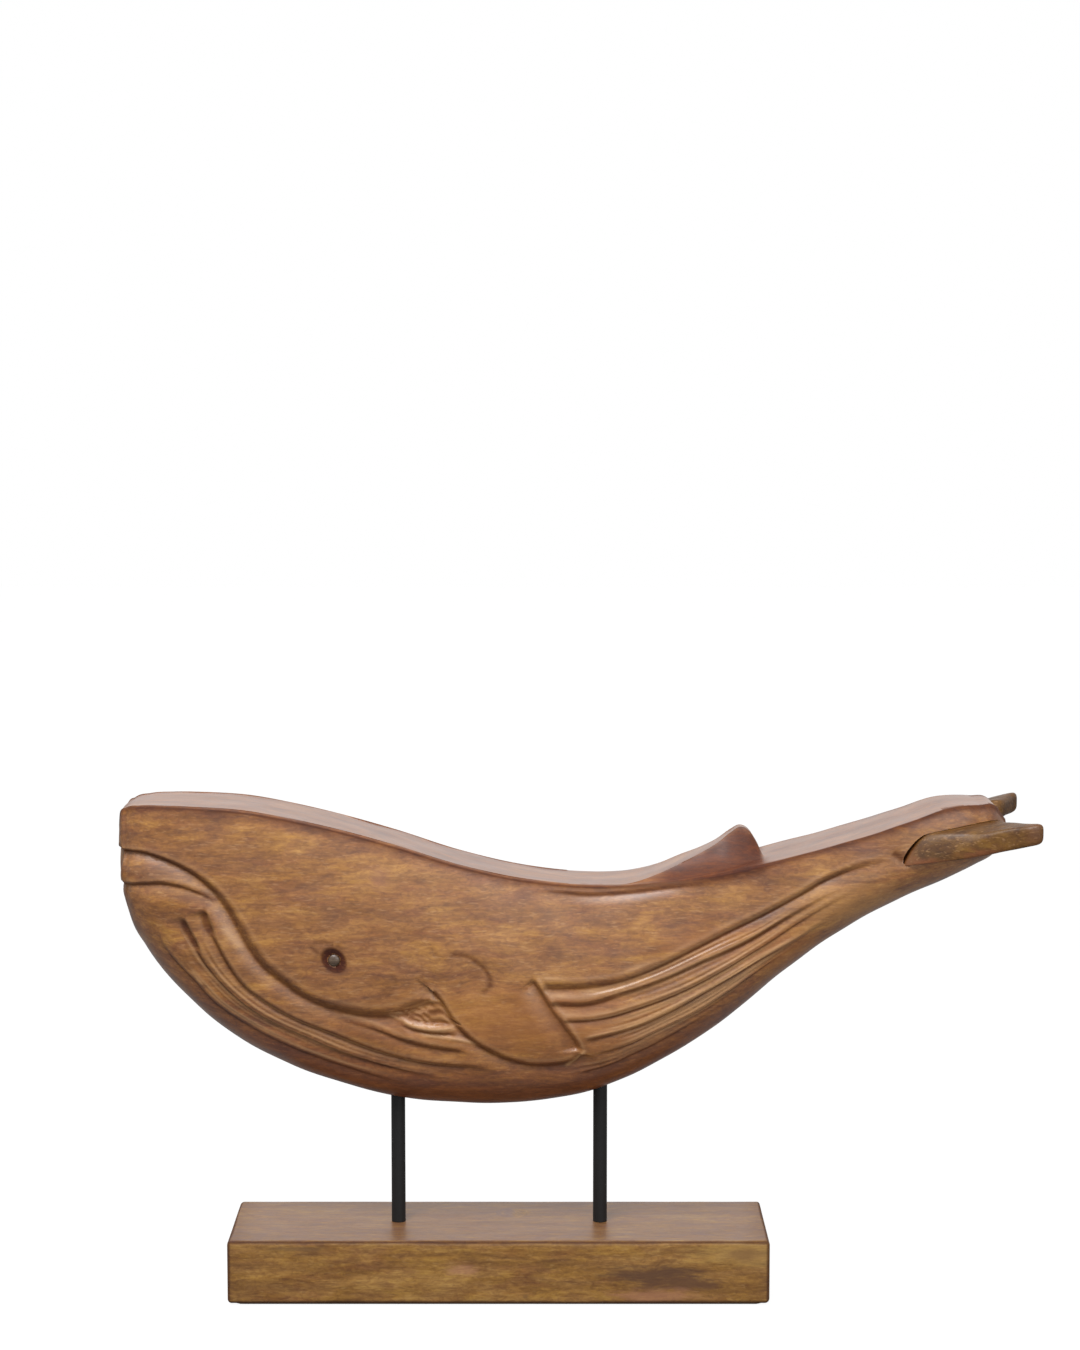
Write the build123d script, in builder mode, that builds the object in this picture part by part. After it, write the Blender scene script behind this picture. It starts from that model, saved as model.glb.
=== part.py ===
"""A carved wooden whale on two steel posts over a block base.

Millimetres. The nose points to -X, the left flank faces -Y and +Z is up. The origin lies on
the surface that the base stands on, under the middle of the base.
"""
import os
from math import sqrt

from build123d import *

# The whale: one carved block
whale_length = 593.0        # snout to the blunt end of the tail, flukes left out
whale_depth = 207.0         # lowest point of the belly to the top of the head
whale_thickness = 84.0      # the plank that it is carved from
nose_overhang = 73.0        # how far the snout reaches past the end of the base
belly_clearance = 83.4      # base top to the lowest point of the belly
arris_radius = 6.0          # rounding between the flat back and the flanks
carving_depth = 2.2         # how deep the grooves lie in the flank
gouge_radius = 3.2          # the round gouge that cuts them

# Dorsal fin
fin_front = 338.0           # snout to the foot of the fin's front slope
fin_length = 94.0
fin_height = 23.7
fin_root = 8.0              # how far the fin's own solid runs down into the back
fin_foot_drop = 1.5         # the fin's sides end this far below the flat of the back

# Tail flukes
fluke_half_span = 60.5      # middle of the tail to a fluke's tip
fluke_thickness = 21.0      # greatest thickness, at the root
right_fluke_lift = 4.0      # the right blade's rear edge was carved this much higher
fluke_dowel_diameter = 8.0
fluke_dowel_length = 24.0
fluke_dowel_spacing = 28.0
glue_gap = 0.15

# Eyes
eye_diameter = 8.0
eye_length = 12.0
eye_dome = 1.6
eye_dish_diameter = 17.0
eye_dish_depth = 2.4
eye_dish_over = 0.3         # the dish's tool starts this far off the flank

# Posts: rod with a thinner stud at each end
post_diameter = 9.5
post_spacing = 137.0
stud_diameter = 6.0
stud_grip = 16.0            # how far the upper stud reaches into its insert
post_seat = 6.0             # lowest rim of the belly hole to the insert's lower face
insert_diameter = 10.0
insert_length = 18.0
thread_gap = 0.05
stud_slip_gap = 0.25        # room around a stud in the base's bore
cut_overrun = 6.0           # how far a drill or a tool runs past the face that it starts from

# Base block, with the hardware below it
base_length = 362.0
base_width = 100.0
base_height = 43.0
base_edge = 3.5
counterbore_diameter = 17.0
counterbore_depth = 12.0
washer_diameter = 12.5
washer_thickness = 1.6
washer_bore = 6.4
nut_across_flats = 10.0
nut_height = 5.0
stud_past_nut = 1.5

# Felt under the base
felt_thickness = 1.5
felt_inset = 5.0
felt_corner = 4.0

# Derived places
base_bottom = felt_thickness
base_top = base_bottom + base_height
keel = base_top + belly_clearance
nose = -(base_length / 2 + nose_overhang)
half_thickness = whale_thickness / 2
posts = {"front": -post_spacing / 2, "rear": post_spacing / 2}
sides = {"left": -1, "right": 1}
fluke_lifts = {-1: 0, 1: right_fluke_lift}

# The block's outline. Each row holds the place along the length, the top and the bottom as
# shares of the depth, and the half width of the back and of the flank as shares of the half
# thickness.
body_shares = [
    (0.000, 0.932, 0.756, 0.240, 0.310),
    (0.003, 0.964, 0.712, 0.476, 0.560),
    (0.012, 0.988, 0.612, 0.630, 0.714),
    (0.029, 0.998, 0.518, 0.750, 0.821),
    (0.056, 1.000, 0.412, 0.833, 0.905),
    (0.093, 0.997, 0.304, 0.881, 0.964),
    (0.140, 0.988, 0.202, 0.881, 0.995),
    (0.190, 0.963, 0.128, 0.857, 1.000),
    (0.245, 0.927, 0.070, 0.821, 1.000),
    (0.309, 0.876, 0.022, 0.798, 1.000),
    (0.384, 0.808, 0.000, 0.762, 1.000),
    (0.460, 0.760, 0.003, 0.714, 0.988),
    (0.545, 0.740, 0.051, 0.690, 0.964),
    (0.612, 0.754, 0.141, 0.738, 0.948),
    (0.680, 0.785, 0.267, 0.810, 0.933),
    (0.747, 0.831, 0.429, 0.869, 0.924),
    (0.815, 0.883, 0.571, 0.869, 0.905),
    (0.882, 0.943, 0.678, 0.845, 0.869),
    (0.933, 0.991, 0.741, 0.750, 0.786),
    (0.966, 0.996, 0.787, 0.620, 0.667),
    (0.987, 0.989, 0.820, 0.476, 0.536),
    (1.000, 0.942, 0.857, 0.286, 0.333),
]
widest_level_share = 0.5    # height of the widest line in a section
arris_limit_share = 0.35    # the arris takes at most this much of the back's half width
belly_power_share = 2.25    # fullness of the rounded belly; 2 is an ellipse

# The dorsal fin. Each row holds the place along the fin, the rise as a share of its height,
# and the half width of the crest and of the foot as shares of the half thickness.
fin_shares = [
    (0.040, 0.020, 0.45, 0.64),
    (0.150, 0.090, 0.36, 0.63),
    (0.276, 0.207, 0.30, 0.62),
    (0.415, 0.388, 0.27, 0.63),
    (0.555, 0.544, 0.255, 0.63),
    (0.660, 0.700, 0.215, 0.62),
    (0.756, 0.915, 0.155, 0.58),
    (0.830, 1.000, 0.107, 0.50),
    (0.900, 0.790, 0.095, 0.40),
    (0.948, 0.450, 0.095, 0.29),
    (0.991, 0.100, 0.095, 0.17),
]

# A fluke. Each row holds the place from seat to tip as a share of the half span, the leading
# and the trailing edge along the whale's length, the level of each edge as a share of the
# depth, and the thickness at each edge as a share of the fluke's thickness.
fluke_shares = [
    (0.330, 0.880, 0.997, 0.850, 0.916, 0.95, 0.80),
    (0.585, 0.880, 1.006, 0.852, 0.920, 0.95, 0.80),
    (0.640, 0.892, 1.010, 0.855, 0.922, 0.92, 0.79),
    (0.760, 0.938, 1.018, 0.868, 0.925, 0.82, 0.76),
    (0.860, 0.972, 1.024, 0.892, 0.928, 0.74, 0.72),
    (0.945, 1.000, 1.030, 0.912, 0.930, 0.68, 0.68),
    (1.000, 1.012, 1.026, 0.920, 0.930, 0.42, 0.42),
]
# A fluke's section, from its nose round to its rear edge: along the chord, and across it
fluke_outline_shares = [
    (0.0, 0.0),
    (0.03, 0.6),
    (0.12, 0.94),
    (0.3, 1.0),
    (0.7, 1.0),
    (0.95, 0.96),
    (1.0, 0.6),
]

# Carved lines on each flank, as places along the length and up the depth
groove_shares = {
    "mouth": [(0.003, 0.856), (0.030, 0.853), (0.083, 0.798), (0.125, 0.691), (0.155, 0.551),
              (0.193, 0.437), (0.239, 0.365), (0.288, 0.337), (0.330, 0.350)],
    "lip": [(0.004, 0.748), (0.050, 0.756), (0.090, 0.735), (0.116, 0.706)],
    "throat_upper": [(0.097, 0.676), (0.115, 0.560), (0.147, 0.416), (0.186, 0.338), (0.245, 0.264),
                     (0.310, 0.193), (0.376, 0.164), (0.425, 0.152)],
    "throat_middle": [(0.072, 0.652), (0.089, 0.558), (0.114, 0.443), (0.150, 0.346), (0.217, 0.247),
                      (0.295, 0.164), (0.396, 0.112)],
    "throat_lower": [(0.052, 0.600), (0.069, 0.499), (0.113, 0.354), (0.194, 0.219), (0.295, 0.115)],
    "flipper_front": [(0.354, 0.380), (0.374, 0.300), (0.396, 0.242), (0.430, 0.196), (0.480, 0.155)],
    "flipper_rear": [(0.530, 0.205), (0.508, 0.285), (0.488, 0.349), (0.470, 0.440)],
    "flank_upper": [(0.490, 0.428), (0.545, 0.436), (0.602, 0.484), (0.685, 0.603), (0.769, 0.729),
                    (0.828, 0.808), (0.868, 0.834)],
    "flank_middle": [(0.510, 0.371), (0.545, 0.378), (0.602, 0.435), (0.702, 0.563), (0.789, 0.712)],
    "flank_lower": [(0.552, 0.244), (0.603, 0.320), (0.710, 0.486), (0.813, 0.676)],
}
full_drop_share = 0.99      # no groove lies nearer to the keel line than this
eye_place_share = (0.245, 0.505)


def level(share):
    """A height up the whale's depth."""
    return keel + share * whale_depth


def along(share):
    """A place along the whale's length."""
    return nose + share * whale_length


def body_at(place_share, column):
    """One column of the body's table, between its rows."""
    for low, high in zip(body_shares, body_shares[1:]):
        if place_share <= high[0]:
            step = (place_share - low[0]) / (high[0] - low[0])
            return low[column] + step * (high[column] - low[column])
    return body_shares[-1][column]


def body_half_width(place_share, height_share):
    """Half the block's width below its widest line or above it."""
    top = body_at(place_share, 1)
    bottom = body_at(place_share, 2)
    middle = bottom + widest_level_share * (top - bottom)
    side = half_thickness * body_at(place_share, 4)
    if height_share < middle:
        drop = min((middle - height_share) / (middle - bottom), full_drop_share)
        return side * (1 - drop**belly_power_share) ** (1 / belly_power_share)
    rise = (height_share - middle) / (top - middle)
    return side - (side - half_thickness * body_at(place_share, 3)) * rise**2


def body_section(x, top, bottom, back, side):
    """One section across the length."""
    arris = min(arris_radius, arris_limit_share * back)
    shoulder = top - arris
    middle = bottom + widest_level_share * (top - bottom)
    bulge = arris * sqrt(2) / 2
    flank = [(back, shoulder)]
    for rise in (0.66, 0.33, 0.0):
        flank.append((side - (side - back) * rise**2, middle + rise * (shoulder - middle)))
    for drop in (0.3, 0.55, 0.75, 0.9, 0.975):
        width = side * (1 - drop**belly_power_share) ** (1 / belly_power_share)
        flank.append((width, middle - drop * (middle - bottom)))
    other_flank = [(-y, z) for y, z in reversed(flank)]
    with BuildSketch(Plane.YZ.offset(x)) as section:
        with BuildLine():
            Line((back - arris, top), (arris - back, top))
            ThreePointArc((arris - back, top), (arris - back - bulge, shoulder + bulge), (-back, shoulder))
            Spline(*flank, (0, bottom), *other_flank)
            ThreePointArc((back, shoulder), (back - arris + bulge, shoulder + bulge), (back - arris, top))
        make_face()
    return section.sketch


def groove_point(place_share, height_share, lift):
    """A point that stands off the left flank, square to it, by the lift."""
    half_step = gouge_radius / whale_depth / 2
    above = body_half_width(place_share, height_share + half_step)
    below = body_half_width(place_share, height_share - half_step)
    slope = (above - below) / gouge_radius
    size = sqrt(1 + slope**2)
    out = body_half_width(place_share, height_share) + lift / size
    return (along(place_share), -out, level(height_share) - lift * slope / size)


def blade_share(row):
    """Nothing as far as the blade's first section, and one from its second."""
    first = fluke_shares[1][0]
    second = fluke_shares[2][0]
    return min(max((row[0] - first) / (second - first), 0), 1)


def fluke_section(row, side, gap):
    """One section of a fluke along the whale's length, smaller by the gap."""
    front = along(row[1]) + gap
    rear = along(row[2]) - gap
    front_level = level(row[3])
    rear_level = level(row[4]) + fluke_lifts[side] * blade_share(row)
    front_half = fluke_thickness * row[5] / 2 - gap
    rear_half = fluke_thickness * row[6] / 2 - gap
    underside = [(u, -v) for u, v in reversed(fluke_outline_shares[1:])]
    outline = []
    for u, v in fluke_outline_shares + underside:
        middle = front_level + u * (rear_level - front_level)
        half = front_half + u * (rear_half - front_half)
        outline.append((front + u * (rear - front), middle + v * half))
    with BuildSketch(Plane.XZ.offset(-side * row[0] * fluke_half_span)) as section:
        with BuildLine():
            Spline(*outline, periodic=True)
        make_face()
    return section.sketch


# The eye's own frame: on the flank, looking out
eye_x = along(eye_place_share[0])
eye_z = level(eye_place_share[1])
eye_y = body_half_width(*eye_place_share)
eye_floor = eye_y - eye_dish_depth

# The posts' levels at each end
washer_top = base_bottom + counterbore_depth
hole_rims = {end: level(body_at((x - nose) / whale_length, 2)) for end, x in posts.items()}
insert_floors = {end: rim + post_seat for end, rim in hole_rims.items()}

# The fluke joint: the flat at the bottom of the seat, and the dowels along its middle line
seat_row = fluke_shares[0]
fluke_seat = seat_row[0] * fluke_half_span
dowel_places = []
for step in (-0.5, 0.5):
    chord_share = 0.5 + step * fluke_dowel_spacing / (along(seat_row[2]) - along(seat_row[1]))
    dowel_x = along(seat_row[1] + chord_share * (seat_row[2] - seat_row[1]))
    dowel_z = level(seat_row[3] + chord_share * (seat_row[4] - seat_row[3]))
    dowel_places.append((dowel_x, dowel_z))

made = {}

# The round gouge's track along each carved line. It comes in from off the flank at one end and
# runs out of it again at the other.
gouge_tracks = []
for line in groove_shares.values():
    lifts = [gouge_radius] + [gouge_radius - carving_depth] * (len(line) - 2) + [gouge_radius]
    with BuildPart() as track:
        with BuildLine() as path:
            Spline(*[groove_point(x, z, lift) for (x, z), lift in zip(line, lifts)])
        with BuildSketch(Plane(origin=path.line @ 0, z_dir=path.line % 0)):
            Circle(gouge_radius)
        sweep()
    gouge_tracks.append(track.part)
    gouge_tracks.append(track.part.mirror(Plane.XZ))

# The bare block, lofted through its sections
block_sections = [
    body_section(along(place), level(top), level(bottom), half_thickness * back, half_thickness * side)
    for place, top, bottom, back, side in body_shares
]

# The dorsal fin's sections, let into the back
fin_sections = []
for place, rise, crest, foot in fin_shares:
    x = nose + fin_front + place * fin_length
    back = level(body_at((x - nose) / whale_length, 1))
    crest_half = crest * half_thickness
    foot_half = foot * half_thickness
    crest_top = back + rise * fin_height
    foot_level = back - fin_foot_drop
    waist_half = (foot_half + 2 * crest_half) / 3
    waist_level = (2 * foot_level + crest_top) / 3
    with BuildSketch(Plane.YZ.offset(x)) as fin_section:
        with BuildLine():
            Line((crest_half, crest_top), (-crest_half, crest_top))
            Spline((-crest_half, crest_top), (-waist_half, waist_level), (-foot_half, foot_level))
            Line((-foot_half, foot_level), (-foot_half, back - fin_root))
            Line((-foot_half, back - fin_root), (foot_half, back - fin_root))
            Line((foot_half, back - fin_root), (foot_half, foot_level))
            Spline((foot_half, foot_level), (waist_half, waist_level), (crest_half, crest_top))
        make_face()
    fin_sections.append(fin_section.sketch)

with BuildPart() as whale_body:
    loft(block_sections)
    loft(fin_sections)
    add(gouge_tracks, mode=Mode.SUBTRACT)
    for side in sides.values():
        # The seat that a fluke is glued in, and its dowel holes
        extrude(fluke_section(seat_row, side, 0), amount=-side * half_thickness, mode=Mode.SUBTRACT)
        with BuildSketch(Plane.XZ.offset(-side * (fluke_seat - fluke_dowel_length / 2))):
            with Locations(*dowel_places):
                Circle(fluke_dowel_diameter / 2 + glue_gap)
        extrude(amount=-side * fluke_dowel_length, mode=Mode.SUBTRACT)
        # The eye's turned dish, and the hole for its peg
        with BuildSketch(Plane.XZ.offset(-side * eye_floor)):
            with Locations((eye_x, eye_z)):
                Circle(eye_diameter / 2 + glue_gap)
        with BuildSketch(Plane.XZ.offset(-side * (eye_y + eye_dish_over))):
            with Locations((eye_x, eye_z)):
                Circle(eye_dish_diameter / 2)
        loft(mode=Mode.SUBTRACT)
        with BuildSketch(Plane.XZ.offset(-side * (eye_floor - eye_length))):
            with Locations((eye_x, eye_z)):
                Circle(eye_diameter / 2 + glue_gap)
        extrude(amount=-side * eye_length, mode=Mode.SUBTRACT)
    # Blind holes in the belly for the inserts
    for end, x in posts.items():
        with BuildSketch(Plane.XY.offset(insert_floors[end] + insert_length + glue_gap)):
            with Locations((x, 0)):
                Circle(insert_diameter / 2 + glue_gap)
        extrude(amount=-(insert_length + glue_gap + post_seat + cut_overrun), mode=Mode.SUBTRACT)
whale_body.part.label = "whale_body"

for name, side in sides.items():
    # A tail fluke: a stub that fills the seat, and the blade beyond it
    blade_sections = [fluke_section(row, side, glue_gap) for row in fluke_shares[1:]]
    stub_length = (fluke_shares[1][0] - seat_row[0]) * fluke_half_span
    with BuildPart() as fluke:
        extrude(fluke_section(seat_row, side, glue_gap), amount=-side * stub_length)
        loft(blade_sections)
        with BuildSketch(Plane.XZ.offset(-side * fluke_seat)):
            with Locations(*dowel_places):
                Circle(fluke_dowel_diameter / 2 + glue_gap)
        extrude(amount=-side * (fluke_dowel_length / 2 + glue_gap), mode=Mode.SUBTRACT)
    fluke.part.label = name + "_fluke"
    made[fluke.part.label] = fluke.part

    # Its two dowels
    with BuildPart() as dowels:
        with BuildSketch(Plane.XZ.offset(-side * (fluke_seat - fluke_dowel_length / 2))):
            with Locations(*dowel_places):
                Circle(fluke_dowel_diameter / 2)
        extrude(amount=-side * fluke_dowel_length)
    dowels.part.label = name + "_fluke_dowels"
    made[dowels.part.label] = dowels.part

    # The eye: a turned peg with a domed face
    with BuildPart() as eye:
        eye_bottom = (eye_x, side * (eye_floor - eye_length), eye_z)
        with BuildSketch(Plane(origin=eye_bottom, x_dir=(1, 0, 0), z_dir=(0, 0, side))):
            with BuildLine():
                Line((0, 0), (eye_diameter / 2, 0))
                Line((eye_diameter / 2, 0), (eye_diameter / 2, eye_length))
                Spline((eye_diameter / 2, eye_length), (0, eye_length + eye_dome),
                       tangents=((0, 1), (-1, 0)))
                Line((0, eye_length + eye_dome), (0, 0))
            make_face()
        revolve(axis=Axis((eye_x, 0, eye_z), (0, 1, 0)))
    eye.part.label = name + "_eye"
    made[eye.part.label] = eye.part

for end, x in posts.items():
    rod_length = insert_floors[end] - base_top
    lower_stud = base_top - washer_top + washer_thickness + nut_height + stud_past_nut
    # A post: a rod whose shoulders bear on the base and on the insert
    with BuildPart() as post:
        with BuildSketch(Plane.XY.offset(base_top)):
            with Locations((x, 0)):
                Circle(post_diameter / 2)
        extrude(amount=rod_length)
        with BuildSketch(Plane.XY.offset(base_top - lower_stud)):
            with Locations((x, 0)):
                Circle(stud_diameter / 2)
        extrude(amount=lower_stud + rod_length + stud_grip)
    post.part.label = end + "_post"
    made[post.part.label] = post.part

    # The threaded insert in the belly
    with BuildPart() as insert:
        with BuildSketch(Plane.XY.offset(insert_floors[end])):
            with Locations((x, 0)):
                Circle(insert_diameter / 2)
                Circle(stud_diameter / 2 + thread_gap, mode=Mode.SUBTRACT)
        extrude(amount=insert_length)
    insert.part.label = end + "_insert"
    made[insert.part.label] = insert.part

    # The washer and the nut under the base
    with BuildPart() as washer:
        with BuildSketch(Plane.XY.offset(washer_top - washer_thickness)):
            with Locations((x, 0)):
                Circle(washer_diameter / 2)
                Circle(washer_bore / 2, mode=Mode.SUBTRACT)
        extrude(amount=washer_thickness)
    washer.part.label = end + "_washer"
    made[washer.part.label] = washer.part

    with BuildPart() as nut:
        with BuildSketch(Plane.XY.offset(washer_top - washer_thickness - nut_height)):
            with Locations((x, 0)):
                RegularPolygon(nut_across_flats / 2, 6, major_radius=False)
                Circle(stud_diameter / 2 + thread_gap, mode=Mode.SUBTRACT)
        extrude(amount=nut_height)
    nut.part.label = end + "_nut"
    made[nut.part.label] = nut.part

# The base block, with its bores and counterbores
with BuildPart() as base_block:
    with BuildSketch(Plane.XY.offset(base_bottom)):
        Rectangle(base_length, base_width)
    extrude(amount=base_height)
    fillet(base_block.edges(), radius=base_edge)
    with BuildSketch(Plane.XY.offset(base_bottom)):
        with Locations(*[(x, 0) for x in posts.values()]):
            Circle(stud_diameter / 2 + stud_slip_gap)
    extrude(amount=base_height, mode=Mode.SUBTRACT)
    with BuildSketch(Plane.XY.offset(base_bottom)):
        with Locations(*[(x, 0) for x in posts.values()]):
            Circle(counterbore_diameter / 2)
    extrude(amount=counterbore_depth, mode=Mode.SUBTRACT)
base_block.part.label = "base_block"

# The felt under the base
with BuildPart() as base_felt:
    with BuildSketch(Plane.XY):
        RectangleRounded(base_length - 2 * felt_inset, base_width - 2 * felt_inset, felt_corner)
    extrude(amount=felt_thickness)
base_felt.part.label = "base_felt"

os.makedirs("parts", exist_ok=True)
for piece in [whale_body.part, base_block.part, base_felt.part, *made.values()]:
    export_step(piece, "parts/" + piece.label + ".step")
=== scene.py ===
"""The carved whale's looks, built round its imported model. Metres; the nose points to -X."""
from math import cos, pi, radians, sin

import bpy
import numpy as np
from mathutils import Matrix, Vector


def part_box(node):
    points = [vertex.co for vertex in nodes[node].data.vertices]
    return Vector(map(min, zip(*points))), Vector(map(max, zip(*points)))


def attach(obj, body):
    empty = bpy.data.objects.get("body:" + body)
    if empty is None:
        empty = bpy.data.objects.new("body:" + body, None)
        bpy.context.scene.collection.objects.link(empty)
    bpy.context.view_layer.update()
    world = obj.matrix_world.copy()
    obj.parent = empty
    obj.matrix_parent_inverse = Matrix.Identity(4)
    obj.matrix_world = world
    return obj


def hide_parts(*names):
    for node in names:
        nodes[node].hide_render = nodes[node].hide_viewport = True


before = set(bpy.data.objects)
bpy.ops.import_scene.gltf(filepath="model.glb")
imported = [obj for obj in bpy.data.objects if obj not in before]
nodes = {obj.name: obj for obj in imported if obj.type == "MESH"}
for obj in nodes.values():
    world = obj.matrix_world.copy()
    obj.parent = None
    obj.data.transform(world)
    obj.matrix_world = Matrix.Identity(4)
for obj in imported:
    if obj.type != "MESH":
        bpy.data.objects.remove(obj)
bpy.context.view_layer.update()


# Base block: a sawn and planed block of the same hardwood as the whale, stained and lacquered.
# Its arrises are rounded over by hand, so they wander a little, and two bores go through it
# with a counterbore from below, where a washer and a nut clamp each post.
def linear(hex_colour):
    """An sRGB hex colour as the linear colour that a shader takes."""
    channels = [int(hex_colour[i:i + 2], 16) / 255 for i in (1, 3, 5)]
    return [c / 12.92 if c <= 0.04045 else ((c + 0.055) / 1.055) ** 2.4 for c in channels] + [1]


def feed(tree, node, inputs):
    """Fills a node's inputs with numbers, colours, outputs, or the live output of other nodes."""
    for key, value in inputs.items():
        if isinstance(value, bpy.types.Node):
            value = next(output for output in value.outputs if output.enabled)
        if isinstance(value, bpy.types.NodeSocket):
            tree.links.new(value, node.inputs[key])
        else:
            node.inputs[key].default_value = value


def add(tree, kind, inputs=None, stops=(), **settings):
    """Adds a node with its settings and links. A kind without a prefix is a shader node's."""
    made = tree.nodes.new(kind if "Node" in kind else "ShaderNode" + kind)
    for name, value in settings.items():
        setattr(made, name, value)
    feed(tree, made, inputs or {})
    for index, (place, colour) in enumerate(stops):
        ramp = made.color_ramp.elements
        stop = ramp[index] if index < len(ramp) else ramp.new(place)
        stop.position, stop.color = place, linear(colour)
    return made


def new_material(name):
    """An empty material that ends in one Principled shader, and the object's own coordinates."""
    material = bpy.data.materials.new(name)
    material.use_nodes = True
    tree = material.node_tree
    tree.nodes.clear()
    shader = add(tree, "BsdfPrincipled")
    add(tree, "OutputMaterial", {0: shader})
    return material, tree, shader, add(tree, "TexCoord").outputs["Object"]


def stained_hardwood(name, tones, pith, swirls=(), smears=(), stain="#5b3822", pale_tint="#bb9063",
                     coat=0.6, seed=0.0):
    """Open-grained tropical hardwood, sanded, stained brown and sealed with satin lacquer.

    The stain soaks in unevenly, so yellow and red-brown clouds lie along the grain, with short
    dark vessels and pale fibres over them. Real vessels are 0.2 mm wide; these are drawn about
    1 mm wide, because finer ones would not show. The grain runs along X. Sizes are in mm.
    """
    material, tree, shader, place = new_material(name)
    spot = add(tree, "VectorMath", {0: place, "Scale": 1000}, operation="SCALE")
    for centre, radius, turn in swirls:
        away = add(tree, "VectorMath", {0: spot, 1: centre}, operation="DISTANCE")
        angle = add(tree, "MapRange", {0: away, 1: 0, 2: radius, 3: turn, 4: 0},
                    interpolation_type="SMOOTHERSTEP")
        spot = add(tree, "VectorRotate", {"Vector": spot, "Center": centre, "Axis": (0, 1, 0),
                   "Angle": angle})

    def streaks(along, across, detail, shift, distortion=0.0):
        """Noise drawn out along the grain, by the length and the width of its streaks."""
        drawn = add(tree, "Mapping", {"Vector": spot, "Location": (shift + seed, shift, -shift),
                    "Scale": (1 / along, 1 / across, 1 / across)})
        return add(tree, "TexNoise", {"Vector": drawn, "Scale": 1.0, "Detail": detail,
                   "Roughness": 0.6, "Distortion": distortion})

    # The growth rings, warped, about the tree's pith
    arm = add(tree, "VectorMath", {0: spot, 1: pith}, operation="SUBTRACT")
    flat = add(tree, "VectorMath", {0: arm, 1: (0, 1, 1)}, operation="MULTIPLY")
    reach = add(tree, "VectorMath", {0: flat}, operation="LENGTH")
    ring = add(tree, "Math", {0: streaks(60, 24, 2, 9.4), 1: 18, 2: reach},
               operation="MULTIPLY_ADD")
    rings = add(tree, "TexNoise", {"W": ring, "Scale": 0.21, "Detail": 3}, noise_dimensions="1D")
    fibre = streaks(13, 1.9, 3, 5.7, 0.5)
    vessels = streaks(9, 1.2, 1, 7.9)
    # What lies over the clouds, each as its pattern, how much of it shows at two levels of the
    # pattern, and its tint: red and yellow where the stain took unevenly, the rings, the fibres,
    # a mottle, the vessels that hold the stain, and short flecks that catch the light
    layers = []
    for pattern, low, low_share, high, high_share, mode, tint in (
            (streaks(36, 11, 3, 21.0, 0.8), 0.50, 0.0, 0.68, 0.6, "MULTIPLY", "#dcc4d8"),
            (streaks(30, 8, 3, 33.0, 0.4), 0.42, 0.0, 0.62, 0.9, "MULTIPLY", "#f6f2c4"),
            (rings, 0.35, 0.28, 0.65, 0.0, "MULTIPLY", "#8d6a50"),
            (fibre, 0.34, 0.55, 0.64, 0.0, "MULTIPLY", "#b9a595"),
            (streaks(6, 3.2, 3, 17.3, 1.2), 0.36, 0.5, 0.60, 0.0, "MULTIPLY", "#b7a08c"),
            (vessels, 0.60, 0.0, 0.72, 0.24, "MIX", stain),
            (streaks(7, 1.3, 1, 12.3), 0.60, 0.0, 0.72, 0.25, "MIX", pale_tint)):
        mask = add(tree, "MapRange", {0: pattern, 1: low, 2: high, 3: low_share, 4: high_share})
        layers.append((mask, mode, tint))
        if pattern == vessels:
            vessel = mask
    # Patches where the stain took differently, and the dark figure of a knot
    ragged = streaks(12, 2.4, 3, 15.2)
    for centre, size, strength, patch in smears:
        shrunk = add(tree, "Mapping", {"Vector": spot, "Location": centre, "Scale": size},
                     vector_type="TEXTURE")
        away = add(tree, "VectorMath", {0: shrunk}, operation="LENGTH")
        edge = add(tree, "Math", {0: ragged, 1: 1.2, 2: away}, operation="MULTIPLY_ADD")
        mask = add(tree, "MapRange", {0: edge, 1: 0.85, 2: 1.6, 3: strength, 4: 0},
                   interpolation_type="SMOOTHSTEP")
        layers.append((mask, "MIX", patch))
    # Painted shade darkens what is carved, with some stain pooled there, and darkens low on the
    # block; edges are painted paler, partly as rubbed wear and partly as a painted highlight
    painted_shade, hollow, ridge = (add(tree, "Attribute", attribute_name=key).outputs["Fac"]
                           for key in ("painted_shade", "hollow", "ridge"))
    layers += [(painted_shade, "MULTIPLY", "#d2aa98"), (hollow, "MULTIPLY", "#7c5246"), (ridge, "MIX", pale_tint)]
    clouds = streaks(62, 17, 4, 3.1, 1.0)
    colour = add(tree, "ValToRGB", {0: clouds}, stops=zip((0.30, 0.50, 0.68), tones))
    for mask, mode, tint in layers:
        colour = add(tree, "Mix", {0: mask, 6: colour, 7: linear(tint)}, data_type="RGBA",
                     blend_type=mode)
    relief = add(tree, "Math", {0: vessel, 1: -0.8, 2: fibre}, operation="MULTIPLY_ADD")
    bump = add(tree, "Bump", {"Height": relief, "Strength": 0.3, "Distance": 0.0003})
    # The lacquer is rubbed to a satin on the open faces and stays dull in the hollows
    satin = add(tree, "MapRange", {0: fibre, 1: 0.3, 2: 0.7, 3: 0.40, 4: 0.50})
    dull = add(tree, "Math", {0: hollow, 1: 0.5, 2: satin}, operation="MULTIPLY_ADD")
    film = add(tree, "MapRange", {0: hollow, 1: 0.0, 2: 0.6, 3: coat, 4: 0.0})
    feed(tree, shader, {"Base Color": colour, "Roughness": dull, "Coat Weight": film,
         "Normal": bump, "Specular IOR Level": 0.4, "Coat Roughness": 0.3})
    return material


def mesh_object(name, points, faces, material):
    """A smooth-shaded mesh object at the origin."""
    mesh = bpy.data.meshes.new(name)
    mesh.from_pydata(points, [], faces)
    mesh.shade_smooth()
    mesh.set_sharp_from_angle(angle=radians(55))
    mesh.materials.append(material)
    made = bpy.data.objects.new(name, mesh)
    bpy.context.scene.collection.objects.link(made)
    return made


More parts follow.
